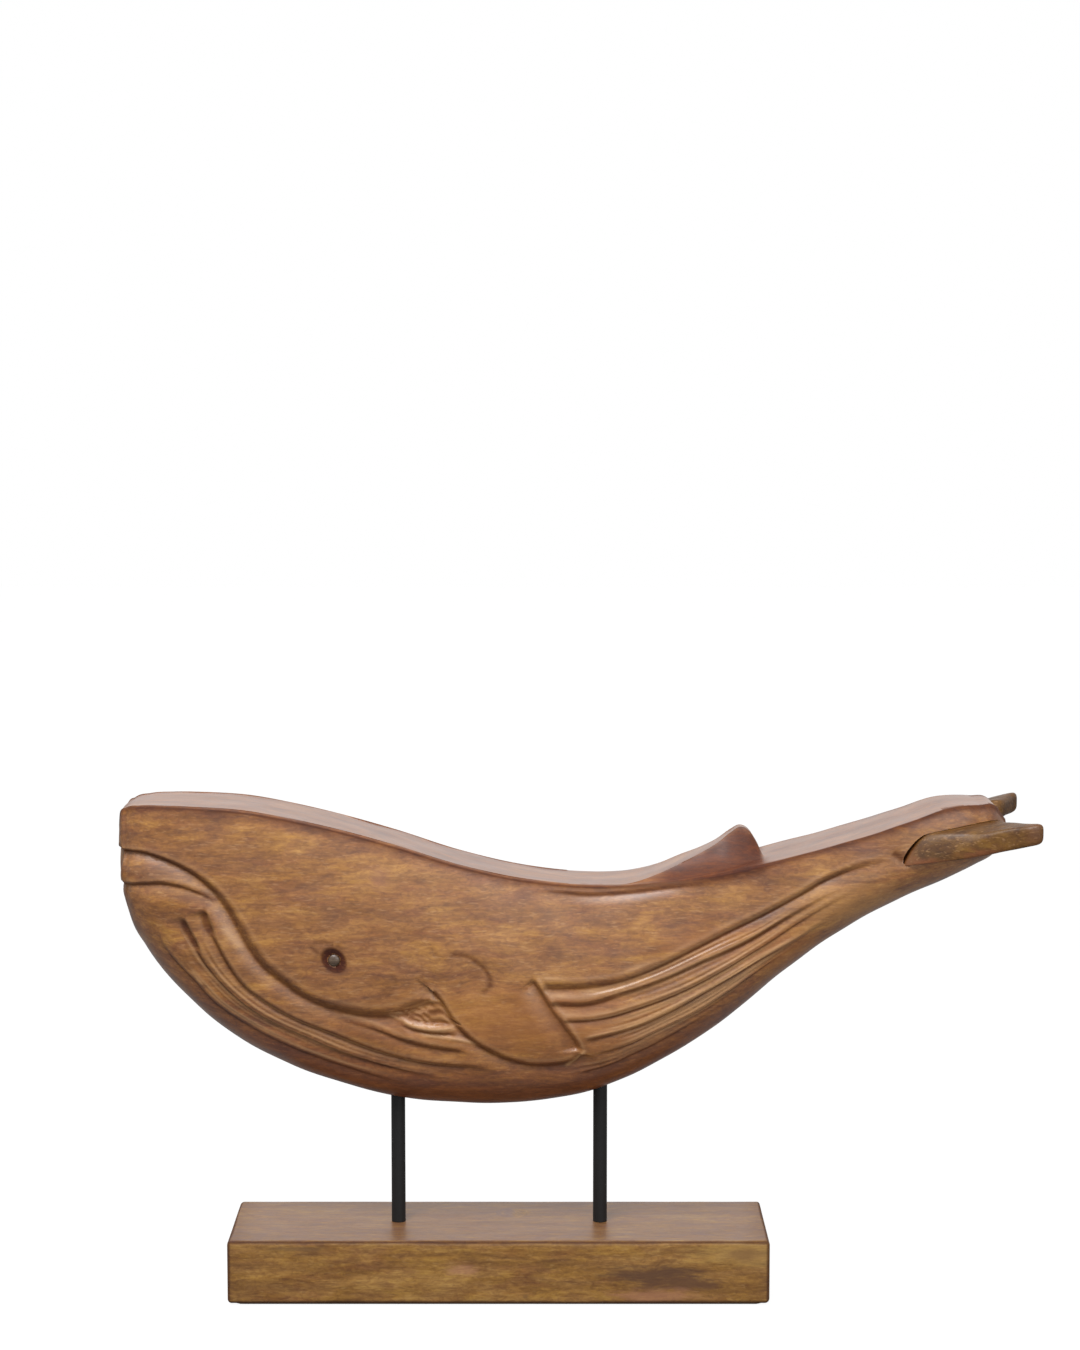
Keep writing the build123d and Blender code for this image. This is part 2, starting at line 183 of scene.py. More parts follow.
def paint(piece, name, values):
    """Stores one number a vertex, for the material to read."""
    layer = piece.data.attributes.new(name, "FLOAT", "POINT")
    layer.data.foreach_set("value", np.asarray(values, np.float32))


def lofted(rings):
    """Points and faces of a closed skin through equal rings, which run counterclockwise about
    the way that they follow each other."""
    rings = np.array(rings, float)
    index = np.arange(rings.shape[0] * rings.shape[1]).reshape(rings.shape[:2])
    following = np.roll(index, -1, axis=1)
    sides = np.stack([index[:-1], following[:-1], following[1:], index[1:]], axis=2)
    ends = [index[0][::-1].tolist(), index[-1].tolist()]
    return rings.reshape(-1, 3), sides.reshape(-1, 4).tolist() + ends


def turned(foot, axis, profile, count=48):
    """A piece turned on a lathe: its foot, its axis, and places up the axis with their radii."""
    side = np.array((1.0, 0.0, 0.0))
    other = np.cross(axis, side)
    angles = 2 * pi * np.arange(count) / count
    spokes = np.cos(angles)[:, None] * side + np.sin(angles)[:, None] * other
    return lofted([foot + up * np.array(axis) + radius * spokes for up, radius in profile])


def drilled(foot, axis, depth, radius):
    """A straight round hole, as the shape to cut away."""
    return turned(foot, axis, [(0, radius), (depth, radius)])


def cut(piece, shapes):
    """Cuts closed shapes out of a piece, one after the other."""
    tools = []
    for shape_points, shape_faces in shapes:
        tool = mesh_object("cutting_tool", shape_points, shape_faces, piece.data.materials[0])
        saw = piece.modifiers.new("cut", "BOOLEAN")
        saw.operation, saw.solver, saw.object = "DIFFERENCE", "MANIFOLD", tool
        tools.append(tool)
    settle(piece)
    for tool in tools:
        bpy.data.objects.remove(tool)


def settle(piece):
    """Turns a piece's modifiers into plain mesh, with its sharp corners kept sharp."""
    graph = bpy.context.evaluated_depsgraph_get()
    mesh = bpy.data.meshes.new_from_object(piece.evaluated_get(graph))
    mesh.set_sharp_from_angle(angle=radians(55))
    piece.modifiers.clear()
    piece.data = mesh


block_low, block_high = np.array(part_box("base_block"))
block_middle = (block_low + block_high) / 2
block_half = (block_high - block_low) / 2
block_edge = 0.0032           # rounding of the arrises
block_edge_wander = 0.0007
block_step = 0.003            # spacing of the mesh on the faces
block_warp = 0.00012          # how far the sanded faces are from flat
end_shade_width = 0.022       # how far the stain darkens in from the sawn ends
weld_reach = 0.00001

axis_stops = []
for half in block_half:
    flat_half = half - block_edge
    flats = np.linspace(-flat_half, flat_half, int(2 * flat_half / block_step) + 1)
    round_over = block_edge * np.tan(np.radians(np.linspace(9, 45, 5)))
    axis_stops.append(np.concatenate([-flat_half - round_over[::-1], flats,
                                      flat_half + round_over]))
block_points, block_faces = [], []
for axis in range(3):
    across = [stops for a, stops in enumerate(axis_stops) if a != axis]
    grid = np.stack(np.meshgrid(*across, indexing="ij"), axis=2)
    for end in (-1, 1):
        index = sum(map(len, block_points)) + np.arange(grid[:, :, 0].size).reshape(grid.shape[:2])
        quads = np.stack([index[:-1, :-1], index[1:, :-1], index[1:, 1:], index[:-1, 1:]], axis=2)
        flipped = end * (-1 if axis == 1 else 1) < 0
        block_faces += quads.reshape(-1, 4)[:, ::-1 if flipped else 1].tolist()
        block_points.append(np.insert(grid, axis, end * block_half[axis], axis=2).reshape(-1, 3))
block_points = np.concatenate(block_points)
wander = sum(np.sin(block_points @ np.array(wave) + phase) for wave, phase in [
    ((61, 90, 40), 0.4), ((23, -70, 95), 2.1), ((140, 33, -60), 4.4)]) / 3
edge = (block_edge + block_edge_wander * wander)[:, None]
inner = np.clip(block_points, edge - block_half, block_half - edge)
arm = block_points - inner
length = np.maximum(np.linalg.norm(arm, axis=1, keepdims=True), 1e-9)
rounding = np.sort(np.abs(arm) / edge, axis=1)[:, 1]
block_points = inner + arm / length * (edge - block_warp * (1 - wander[:, None])) + block_middle
base = mesh_object("wood_base", block_points, block_faces, stained_hardwood(
    "stained_base_wood", ("#86602e", "#9b7239", "#ad8749"), (40, 60, -90),
    swirls=[((109, -50, 20), 30, 0.15), ((9, 20, 44.5), 14, 2.4)],
    # The first patch darkens the top face to a mauve brown, as painted shade and reflection
    smears=[((0, 0, 47.5), (900, 900, 5.2), 0.8, "#6b4c43"),
            ((170, -50, 36), (60, 9, 12), 0.4, "#b89552"),
            ((104, -50, 22), (48, 14, 8), 0.9, "#4c2f1c"),
            ((124, -50, 15), (40, 14, 6), 0.85, "#54351f"),
            ((104, -50, 7), (40, 14, 7), 0.55, "#9a6a50"),
            ((-137, -50, 39.5), (30, 9, 2.4), 0.6, "#5f4426"),
            ((164, -50, 35), (17, 9, 7), 0.55, "#684526"),
            ((-24, -50, 24.5), (14, 9, 6), 0.45, "#a2735a"),
            ((18, -50, 6.7), (3, 9, 2.2), 0.5, "#5a3c24")],
    pale_tint="#b08c54", coat=0.2, seed=31))
# The rounded arrises are painted darker as shade, and the stain darkens in from the sawn ends
end_shade = np.clip((np.abs(block_points[:, 0]) - block_half[0] + end_shade_width)
                    / end_shade_width, 0, 1) ** 2
paint(base, "hollow", np.clip(np.maximum(rounding * 1.3 - 0.2, 0) + 0.22 * end_shade, 0, 0.8))
base.modifiers.new("weld", "WELD").merge_threshold = weld_reach
settle(base)

upward = (0, 0, 1)
overrun = 0.001               # how far a drill starts outside the face that it enters
bore_radius, bore_depth = 0.00325, 0.05
counterbore_radius, counterbore_depth = 0.0085, 0.0145
post_places = {}
for end in ("front", "rear"):
    post_low, post_high = np.array(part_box(end + "_post"))
    post_places[end] = (post_low + post_high) / 2 * (1, 1, 0)
for radius, depth in ((bore_radius, bore_depth), (counterbore_radius, counterbore_depth)):
    cut(base, [drilled(post_places[end] + (0, 0, -overrun), upward, depth, radius)
               for end in post_places])
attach(base, "root")
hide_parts("base_block")


# Washers and nuts: zinc-plated mild steel, stamped and cold-formed. They sit in the
# counterbores and clamp the posts to the base. The inserts in the belly have the same plating.
def speckled(name, per_metre, detail, dark, light):
    """A material that goes from dark to light with a fine noise, which comes with it."""
    material, tree, shader, place = new_material(name)
    noise = add(tree, "TexNoise", {"Vector": place, "Scale": per_metre, "Detail": detail})
    colour = add(tree, "ValToRGB", {0: noise}, stops=[(0.3, dark), (0.7, light)])
    feed(tree, shader, {"Base Color": colour})
    return material, tree, shader, noise


def zinc_plate():
    """Bright zinc: grey with a cool sheen, in a mottle of about 1 mm from the bath."""
    material, tree, shader, mottle = speckled("bright_zinc_plate", 900.0, 2.0, "#9fa3a6",
                                              "#c3c7c9")
    rough = add(tree, "MapRange", {0: mottle, 3: 0.25, 4: 0.42})
    feed(tree, shader, {"Roughness": rough, "Metallic": 1.0})
    return material


zinc = zinc_plate()
for name in ("washer", "nut", "insert"):
    for node in (nodes["front_" + name], nodes["rear_" + name]):
        node.data.materials.clear()
        node.data.materials.append(zinc)


# Posts: 9.5 mm steel rod with a threaded stud at each end, powder coated matt black.
# The shoulders bear on the base and on the insert, and the studs are hidden in the wood.
def black_powder_coat():
    """Matt powder coat: an orange peel of about 0.7 mm and almost no gloss."""
    material, tree, shader, peel = speckled("matt_black_powder_coat", 1400.0, 1.0, "#0d0d0e",
                                            "#131314")
    bump = add(tree, "Bump", {"Height": peel, "Strength": 0.25, "Distance": 0.0001})
    feed(tree, shader, {"Normal": bump, "Roughness": 0.6, "Specular IOR Level": 0.3})
    return material


powder_coat = black_powder_coat()
for node in (nodes["front_post"], nodes["rear_post"]):
    node.data.materials.clear()
    node.data.materials.append(powder_coat)


# The whale: sawn from one thick hardwood block, rounded over, then carved by hand with gouges.
# Each carved line steps down from a proud upper edge and fades out below, like lapped boards.
whale_low, whale_high = np.array(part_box("whale_body"))
whale_length = whale_high[0] - whale_low[0]
whale_depth = whale_high[2] - whale_low[2]
half_thickness = 0.042
arris_radius = 0.0026
belly_power = 2.25
# In thousandths: place along the length, top and bottom up the depth, half widths of the back
# and of the flank
body_shares = np.array([
    (0, 932, 756, 240, 310), (3, 964, 712, 476, 560), (12, 988, 612, 630, 714),
    (29, 998, 518, 750, 821), (56, 1000, 412, 833, 905), (93, 997, 304, 881, 964),
    (140, 988, 202, 881, 995), (190, 963, 128, 857, 1000), (245, 927, 70, 821, 1000),
    (309, 876, 22, 798, 1000), (384, 808, 0, 762, 1000), (460, 760, 3, 714, 988),
    (545, 740, 51, 690, 964), (612, 754, 141, 738, 948), (680, 785, 267, 810, 933),
    (747, 831, 429, 869, 924), (815, 883, 571, 869, 905), (882, 943, 678, 845, 869),
    (933, 991, 741, 750, 786), (966, 996, 787, 620, 667), (987, 989, 820, 476, 536),
    (1000, 942, 857, 286, 333)]) / 1000
# Dorsal fin, in thousandths: place along it, rise, and its crest's and its foot's half widths
# as parts of the back's
fin_front = 0.338
fin_length = 0.094
fin_height = 0.0237
fin_power = 2.0
fin_shares = np.array([
    (-400, 0, 1000, 1000), (-120, 6, 980, 1000), (40, 20, 940, 1000), (150, 85, 840, 1000),
    (276, 207, 700, 1000), (415, 388, 560, 1000), (555, 544, 420, 980), (660, 700, 300, 900),
    (756, 915, 210, 780), (830, 1000, 160, 660), (900, 790, 140, 540), (948, 450, 130, 460),
    (1000, 0, 130, 400), (1100, 0, 400, 600), (1600, 0, 900, 1000)]) / 1000


def through(places, values, wanted):
    """A smooth curve through the values, read at the wanted places."""
    slopes = np.gradient(values, places, axis=0)
    low = np.clip(np.searchsorted(places, wanted) - 1, 0, len(places) - 2)
    span = places[low + 1] - places[low]
    t = (wanted - places[low]) / span
    if values.ndim > 1:
        span, t = span[:, None], t[:, None]
    return ((1 + 2 * t) * (1 - t) ** 2 * values[low] + t * (1 - t) ** 2 * span * slopes[low]
            + t * t * (3 - 2 * t) * values[low + 1] + t * t * (t - 1) * span * slopes[low + 1])


def run_along(points):
    """How far along the path each of its points lies."""
    return np.concatenate([[0], np.cumsum(np.linalg.norm(np.diff(points, axis=0), axis=1))])


def evenly(points, count):
    """The same path with its points evenly spaced."""
    run = run_along(points)
    wanted = np.linspace(0, run[-1], count)
    return np.stack([np.interp(wanted, run, points[:, k]) for k in range(points.shape[1])], axis=1)


columns = np.concatenate([np.linspace(0, 0.03, 34)[:-1], np.linspace(0.03, 0.95, 560)[:-1],
                          np.linspace(0.95, 1, 50)])
crest_count, side_count, arris_count, flank_count = 14, 44, 9, 236
shape = through(body_shares[:, 0], body_shares[:, 1:], columns)
fin_place = (columns * whale_length - fin_front) / fin_length
fin_here = through(fin_shares[:, 0], fin_shares[:, 1:], np.clip(fin_place, -0.4, 1.6))
quarter = np.linspace(0, pi / 2, 90)
half_rings, flank_runs = [], []
for place, (top, bottom, back, side), (rise, crest, foot) in zip(columns, shape, fin_here):
    top, bottom = whale_low[2] + top * whale_depth, whale_low[2] + bottom * whale_depth
    back, side = back * half_thickness, side * half_thickness
    arris = min(arris_radius, 0.35 * back)
    rise = max(rise, 0) * fin_height
    flat_half = back - arris
    crest = crest * flat_half
    across = np.linspace(0, crest, crest_count)
    ring = [np.stack([across, np.full(crest_count, top + rise)], axis=1)]
    across = np.linspace(crest, flat_half, 160)
    slope = np.clip((across - crest) / max(foot * flat_half - crest, 1e-5), 0, 1)
    fin_slope = np.stack([across, top + rise * (1 - slope) ** fin_power], axis=1)
    ring.append(evenly(fin_slope, side_count)[1:])
    turn = np.linspace(0, pi / 2, arris_count)[1:]
    ring.append(np.stack([flat_half + arris * np.sin(turn),
                          top - arris + arris * np.cos(turn)], axis=1))
    shoulder, middle = top - arris, (top + bottom) / 2
    up = np.linspace(1, 0, 90)
    upper = np.stack([side - (side - back) * up ** 2, middle + up * (shoulder - middle)], axis=1)
    lower = np.stack([side * np.cos(quarter) ** (2 / belly_power),
                      middle - (middle - bottom) * np.sin(quarter) ** (2 / belly_power)], axis=1)
    flank = evenly(np.concatenate([upper, lower[1:]]), flank_count)
    ring.append(flank[1:])
    half_rings.append(np.concatenate(ring))
    flank_runs.append(np.linalg.norm(flank[1] - flank[0]))
half_rings = np.array(half_rings)
ring_count = half_rings.shape[1]
shoulder_index = ring_count - flank_count
# Each point's own coordinates on the flank: along the length, and down from the shoulder
flank_runs = np.array(flank_runs)
down = (np.arange(ring_count) - shoulder_index)[None, :] * flank_runs[:, None]
along = np.repeat((whale_low[0] + columns * whale_length)[:, None], ring_count, axis=1)


def on_flank(points, spacing=0.0015, parts=1000):
    """A carved line's points, in thousandths of the whale's length and depth or as shares of
    another number of parts, turned into a smooth path in flank coordinates."""
    points = np.array(points) / parts
    run = run_along(points)
    count = max(int(run[-1] * whale_length / spacing), 8)
    smooth = through(run, points, np.linspace(0, run[-1], count))
    nearest = np.abs(columns[None, :] - smooth[:, :1]).argmin(axis=1)
    path = []
    for index, (x, z) in zip(nearest, smooth):
        heights = half_rings[index, shoulder_index:, 1]
        z = whale_low[2] + z * whale_depth
        path.append((whale_low[0] + x * whale_length,
                     np.interp(-z, -heights, np.arange(flank_count)) * flank_runs[index]))
    return np.array(path)


def near(path, reach):
    """Where the flank lies within reach of a path: which points, how far off it with a sign,
    plus below or behind, and how far along it as a share."""
    box = ((along > path[:, 0].min() - reach) & (along < path[:, 0].max() + reach)
           & (down > path[:, 1].min() - reach) & (down < path[:, 1].max() + reach))
    which = np.nonzero(box)
    spots = np.stack([along[which], down[which]], axis=1)
    run = run_along(path)
    best = np.full(len(spots), 1e9)
    share = np.zeros(len(spots))
    for i in range(len(path) - 1):
        start, leg = path[i], path[i + 1] - path[i]
        close = np.nonzero(np.abs(spots - start).max(axis=1) < reach + 0.002)[0]
        offset = spots[close] - start
        t = np.clip(offset @ leg / (leg @ leg), 0, 1)
        miss = offset - t[:, None] * leg
        size = np.linalg.norm(miss, axis=1)
        sign = np.where(leg[0] * offset[:, 1] - leg[1] * offset[:, 0] < 0, -1, 1)
        better = size < np.abs(best[close])
        best[close[better]] = (size * sign)[better]
        share[close[better]] = ((run[i] + t * np.linalg.norm(leg)) / run[-1])[better]
    found = np.abs(best) < reach
    return (which[0][found], which[1][found]), best[found], share[found]


def ease(t):
    """A smooth rise from 0 to 1."""
    t = np.clip(t, 0, 1)
    return t * t * (3 - 2 * t)


def bell(distance, width):
    """A soft bump of height 1 about the places where the distance is 0."""
    return np.exp(-(distance / width) ** 2)


def raise_to(field, where, values):
    """Lifts a field to the values where they are higher."""
    field[where] = np.maximum(field[where], values)


cut_depth, lift, hollow, ridge = (np.zeros(along.shape) for _ in range(4))
# Lapped cuts. For each: depth, width of its wall where it starts and further on, how far it
# fades out below, the shares of its length over which it comes in and runs out, how dark its foot
# is, how proud the edge above it stands, and its points in thousandths
lapped_cuts = {
    "mouth": (0.0038, (0.0018, 0.0080), 0.014, 0.0, 0.03, 0.62, 0.00012, [
        (-4, 855), (11, 854), (30, 851), (50, 836), (83, 796), (109, 741), (125, 688), (138, 628),
        (154, 546), (170, 485), (193, 431), (212, 392), (239, 358), (262, 340), (288, 331),
        (315, 336), (335, 358), (360, 388)]),
    "lip": (0.0022, (0.0022, 0.0034), 0.010, 0.0, 0.15, 0.65, 0.0001, [
        (-4, 744), (12, 745), (34, 751), (50, 754), (73, 746), (96, 726), (116, 698), (127, 683)]),
    "pleat_c": (0.0026, (0.0032, 0.0046), 0.012, 0.02, 0.25, 0.65, 0.0001, [
        (99, 673), (103, 630), (115, 556), (128, 483), (147, 411), (167, 367), (186, 332),
        (212, 294), (245, 257), (277, 219), (310, 186), (343, 164), (376, 156), (409, 151),
        (446, 138)]),
    "pleat_d": (0.0022, (0.0032, 0.0046), 0.012, 0.02, 0.3, 0.65, 0.0001, [
        (75, 649), (79, 610), (89, 554), (99, 496), (114, 438), (130, 389), (150, 340), (183, 283),
        (217, 240), (250, 199), (295, 156), (340, 126), (396, 110)]),
    "pleat_e": (0.0014, (0.003, 0.003), 0.012, 0.15, 0.3, 0.6, 0.0, [
        (43, 617), (51, 564), (66, 498), (88, 428), (113, 348), (149, 278), (194, 211), (238, 162),
        (295, 111), (351, 82)]),
    "pleat_b": (0.0020, (0.003, 0.0040), 0.009, 0.15, 0.15, 0.6, 0.0002, [
        (240, 317), (268, 301), (297, 274), (320, 245), (343, 226), (366, 214), (400, 205)]),
    "pleat_a": (0.0020, (0.0026, 0.0026), 0.006, 0.1, 0.1, 0.5, 0.0006, [
        (302, 319), (318, 300), (334, 280), (355, 268), (385, 266)]),
    "flipper_front": (0.0034, (0.0040, 0.0058), 0.014, 0.0, 0.03, 0.6, 0.0001, [
        (358, 400), (364, 378), (371, 342), (380, 303), (390, 269), (400, 242), (423, 200),
        (446, 171), (470, 156), (492, 159), (507, 165), (517, 182), (519, 200)]),
    "flipper_rear": (0.0028, (0.0030, 0.0042), 0.015, 0.08, 0.05, 0.5, 0.0003, [
        (465, 450), (472, 424), (481, 383), (495, 321), (509, 264), (517, 226), (519, 204)]),
    "back_one": (0.0010, (0.0030, 0.0030), 0.007, 0.3, 0.3, 0.5, 0.0, [
        (455, 726), (488, 722), (531, 713), (576, 722), (625, 740), (680, 752)]),
    "flank_one": (0.0022, (0.0054, 0.0042), 0.010, 0.02, 0.2, 0.7, 0.0002, [
        (475, 423), (530, 424), (562, 438), (602, 479), (642, 536), (685, 600), (729, 663),
        (769, 726), (797, 772), (828, 806), (853, 824), (876, 834)]),
    "flank_two": (0.0021, (0.0050, 0.0040), 0.010, 0.02, 0.3, 0.7, 0.0002, [
        (484, 367), (526, 365), (562, 393), (602, 430), (654, 496), (702, 559), (749, 640),
        (789, 709), (820, 757)]),
    "flank_three": (0.0015, (0.0032, 0.0030), 0.009, 0.05, 0.3, 0.6, 0.0002, [
        (492, 306), (542, 314), (587, 350), (632, 398), (676, 463), (720, 541), (765, 629),
        (810, 706), (843, 751)]),
    "flank_four": (0.0015, (0.0030, 0.0030), 0.009, 0.04, 0.3, 0.5, 0.0006, [
        (522, 238), (553, 258), (587, 286), (615, 322), (654, 384), (710, 481), (770, 580),
        (813, 673)]),
    "flank_five": (0.0012, (0.0018, 0.0018), 0.009, 0.15, 0.3, 0.5, 0.0, [
        (525, 186), (565, 214), (610, 270), (655, 335), (699, 420), (744, 514), (788, 599)]),
    "flank_six": (0.0010, (0.0018, 0.0018), 0.009, 0.2, 0.3, 0.5, 0.0, [
        (497, 111), (542, 143), (588, 197), (633, 266), (677, 353)]),
}
paths = {}
for name, (depth, walls, fade, come_in, run_out, dark, proud, points) in lapped_cuts.items():
    paths[name] = on_flank(points)
    where, off, share = near(paths[name], fade + walls[1])
    wall = walls[0] + (walls[1] - walls[0]) * ease(share * 1.8)
    taper = np.ones(len(share))
    if come_in:
        taper *= ease(share / come_in)
    if run_out:
        taper *= ease((1 - share) / run_out)
    step = ease(off / wall + 0.5) * (1 - np.clip((off - wall / 2) / fade, 0, 1)) ** 1.6
    raise_to(cut_depth, where, depth * taper * step)
    raise_to(lift, where, proud * taper * bell(off + 0.7 * wall + 0.0006, 0.0012))
    # Painted shade, with some stain pooled there, darkens the foot of each cut, and the proud edge
    # above it is painted paler, partly as wear and partly as a painted highlight
    foot_shade = 0.75 * bell(off - 0.15 * wall, 0.6 * wall) + 0.25 * bell(off - 0.35 * wall, 0.0010)
    if name == "flipper_rear":
        foot_shade = np.maximum(foot_shade, 0.8 * bell(off - 0.002, 0.002 + 0.006 * share))
    raise_to(hollow, where, foot_shade * dark * taper)
    edge_wear_and_highlight = bell(off + 0.6 * wall + 0.0008, 0.0010) * (0.12 + 600 * proud) * taper
    raise_to(ridge, where, np.clip(edge_wear_and_highlight, 0, 0.7))
    if name in ("flank_one", "flank_two", "flank_three", "flipper_rear"):
        # The planed top of the board just above each lap is painted pale in patches, partly as
        # rubbed wear and partly as a painted highlight
        patches = 0.5 + 0.5 * np.sin(share * 37 + depth * 9000) * np.sin(share * 13 + 1.0)
        band = bell(off + 0.5 * wall + 0.0026, 0.0014) * taper * (1 - share) * patches
        raise_to(ridge, where, 0.6 * band)

# Pleats C and D start in a drop-shaped hollow, each cut by one push of a deep gouge and
# painted darker as shade
for name, reach_share in (("pleat_c", 0.10), ("pleat_d", 0.15)):
    where, off, share = near(paths[name], 0.006)
    run = np.clip(share / reach_share, 0, 1)
    half_width = 0.0012 + 0.0022 * np.sin(pi * run ** 0.8) ** 0.7
    drop = np.exp(-(np.abs(off - 0.0008) / half_width) ** 3)
    drop *= ease(run / 0.2) * ease((1 - run) / 0.4)
    raise_to(cut_depth, where, 0.0030 * drop)
    raise_to(hollow, where, 0.75 * drop)

# Behind the mouth's end a small three-cornered recess, chopped out and left rough. It is painted
# darker as shade, and its chip facets paler as painted highlights
corner_points = on_flank([
    (302, 341), (319, 348), (341, 366), (358, 384), (366, 366), (374, 328), (386, 290), (360, 288),
    (338, 296), (318, 318), (302, 341)], 0.001)
inside = np.zeros(along.shape, bool)
for (x0, y0), (x1, y1) in zip(corner_points, np.roll(corner_points, -1, axis=0)):
    crossing = (y0 > down) != (y1 > down)
    inside ^= crossing & (along < (x1 - x0) * (down - y0) / (y1 - y0 if y1 != y0 else 1e-9) + x0)
where, off, share = near(corner_points, 0.004)
rim = np.ones(along.shape)
rim[where] = np.clip(np.abs(off) / 0.0022, 0, 1)
sway = 2.2 * np.sin(along * 190 - down * 110) + 1.1 * np.sin(along * 470 + 0.6)
chips = (0.6 * np.sin(down * 1250 - along * 340 + sway)
         + 0.4 * np.sin(along * 390 + down * 620 + 1.5 * np.sin(down * 410)))
recess = inside * ease(rim)
cut_depth = np.maximum(cut_depth, recess * (0.0028 + 0.0005 * chips))
hollow = np.where(inside, np.clip(0.35 + 0.3 * chips, 0.0, 0.7) * ease(rim), hollow)
ridge = np.where(inside, np.clip(-0.45 * chips, 0.0, 0.3) * ease(rim), ridge)

# Ridges that the gouge left, raised a little and painted pale, partly as wear and partly as a
# painted highlight
for points, width, proud, pale in (
        ([(314, 326), (330, 295), (352, 282), (384, 284)], 0.0013, 0.0010, 0.75),
        ([(336, 262), (377, 248), (410, 222)], 0.0012, 0.0006, 0.55),
        ([(502, 142), (514, 170), (528, 215)], 0.0014, 0.0007, 0.6),
        ([(530, 250), (576, 289), (632, 364), (688, 451), (743, 548), (790, 622)],
         0.0011, 0.0007, 0.75),
        ([(520, 402), (556, 412), (585, 440)], 0.0022, 0.0, 0.4),
        ([(119, 623), (130, 586), (144, 536)], 0.0026, 0.0, 0.45),
        ([(83, 470), (98, 414)], 0.0012, 0.0003, 0.5)):
    where, off, share = near(on_flank(points), 0.006)
    crest_here = bell(off, width) * ease(share / 0.2) * ease((1 - share) / 0.2)
    raise_to(lift, where, proud * crest_here)
    raise_to(ridge, where, pale * crest_here)
# Dark lines: thin growth lines that show as drawn ones, and, on the tail by the fluke's root, two
# lines of painted shade
for points, width, dark in (
        ([(307, 465), (314, 436), (310, 410), (297, 387)], 0.0018, 0.3),
        ([(372, 524), (388, 523), (407, 494), (419, 446), (417, 416), (403, 396)],
         0.0019, 0.6),
        ([(352, 550), (357, 532), (365, 505)], 0.0018, 0.2),
        ([(868, 852), (876, 838), (884, 820), (889, 809)], 0.0024, 0.7),
        ([(886, 806), (886, 836), (890, 862)], 0.0016, 0.6),
        ([(294, 377), (306, 426)], 0.0014, 0.2)):
    where, off, share = near(on_flank(points), 0.004)
    line = dark * bell(off, width) * ease(share / 0.15 + 0.3) * ease((1 - share) / 0.2 + 0.2)
    cut_depth[where] += 0.0005 * line
    raise_to(hollow, where, line)

# Fine gouge strokes between the lapped cuts, each between two neighbours, each painted darker
# in its groove as shade and paler beside it as a painted highlight
chance = np.random.default_rng(7)
for upper_name, lower_name, count in (
        ("pleat_c", "pleat_d", 3), ("pleat_d", "pleat_e", 5), ("flank_one", "flank_two", 4),
        ("flank_two", "flank_three", 4), ("flank_three", "flank_four", 5),
        ("flank_four", "flank_five", 5), ("flank_five", "flank_six", 5)):
    for share_down in (np.arange(count) + 0.6) / count:
        start, stop = chance.uniform(0.0, 0.35), chance.uniform(0.6, 1.0)
        share_down = share_down + chance.uniform(-0.3, 0.3) / count
        pair = [evenly(paths[upper_name], 40), evenly(paths[lower_name], 40)]
        middle = pair[0] * (1 - share_down) + pair[1] * share_down
        middle = middle[int(start * len(middle)):int(stop * len(middle))]
        width = chance.uniform(0.0006, 0.0013)
        where, off, share = near(middle, 0.004)
        ends = ease(share / 0.2) * ease((1 - share) / 0.3)
        groove = bell(off, width) * ends
        cut_depth[where] += chance.uniform(0.0002, 0.0006) * groove
        raise_to(hollow, where, 0.3 * groove)
        pale_side = bell(off + 2.2 * width, width) * ends
        raise_to(ridge, where, chance.uniform(0.2, 0.6) * pale_side)

# The eye's dish, with a teardrop crease that runs forward from it, both painted darker as shade
eye_low, eye_high = np.array(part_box("left_eye"))
eye_x, eye_z = (eye_low[0] + eye_high[0]) / 2, (eye_low[2] + eye_high[2]) / 2
eye_place = ((eye_x - whale_low[0]) / whale_length, (eye_z - whale_low[2]) / whale_depth)
eye_spot = on_flank([eye_place, (eye_place[0] + 0.01, eye_place[1])], parts=1)[0]
dish_radius = 0.0092
dish_depth = 0.0030
dish_lip_radius = 0.0068
from_eye = np.hypot(along - eye_spot[0], down - eye_spot[1])
dish = np.clip(1 - (from_eye / dish_radius) ** 2, 0, 1) ** 1.5
cut_depth = cut_depth * (1 - dish) + dish_depth * dish
hollow = np.maximum(hollow, bell(np.clip(from_eye - dish_lip_radius, 0, 1), 0.0022))
crease_size = 0.5
for line in ([(-0.0165, -0.0062), (-0.0125, -0.0088), (-0.006, -0.0106), (0.003, -0.0099),
              (0.009, -0.0066)], [(-0.0165, -0.0062), (-0.013, -0.004), (-0.009, -0.001)]):
    where, off, share = near(eye_spot + np.array(line), 0.004)
    groove = bell(off, 0.0018) * ease(share / 0.25) * ease((1 - share) / 0.3)
    cut_depth[where] += 0.0006 * crease_size * groove
    raise_to(hollow, where, crease_size * groove)

# Painted shade: darker low on the flank, under and along the back's arris, over the back's top
# and the fin's side, at the fin's foot and at the nose's end
flank_share = down / (flank_runs[:, None] * (flank_count - 1))
fin_rise = np.clip(fin_here[:, :1] * 4, 0, 1)
in_ring = np.arange(ring_count)[None, :]
above = in_ring < shoulder_index
fin_side = fin_rise * above * np.clip((in_ring - crest_count + 3) / 5, 0, 1)
on_arris = bell(down + 0.0016, 0.0022)
fin_foot = bell(down + 0.001, 0.006) * ease((fin_place - 0.1) / 0.5)[:, None]
fin_foot = fin_foot * ease((1.06 - fin_place) / 0.12)[:, None]
under_arris = 0.55 * bell(np.clip(down, 0, 1), 0.006) * ~above
painted_shade = np.maximum(ease((flank_share - 0.58) / 0.34), under_arris)
painted_shade = painted_shade * (1 - 0.35 * ease((-0.12 - along) / 0.1))
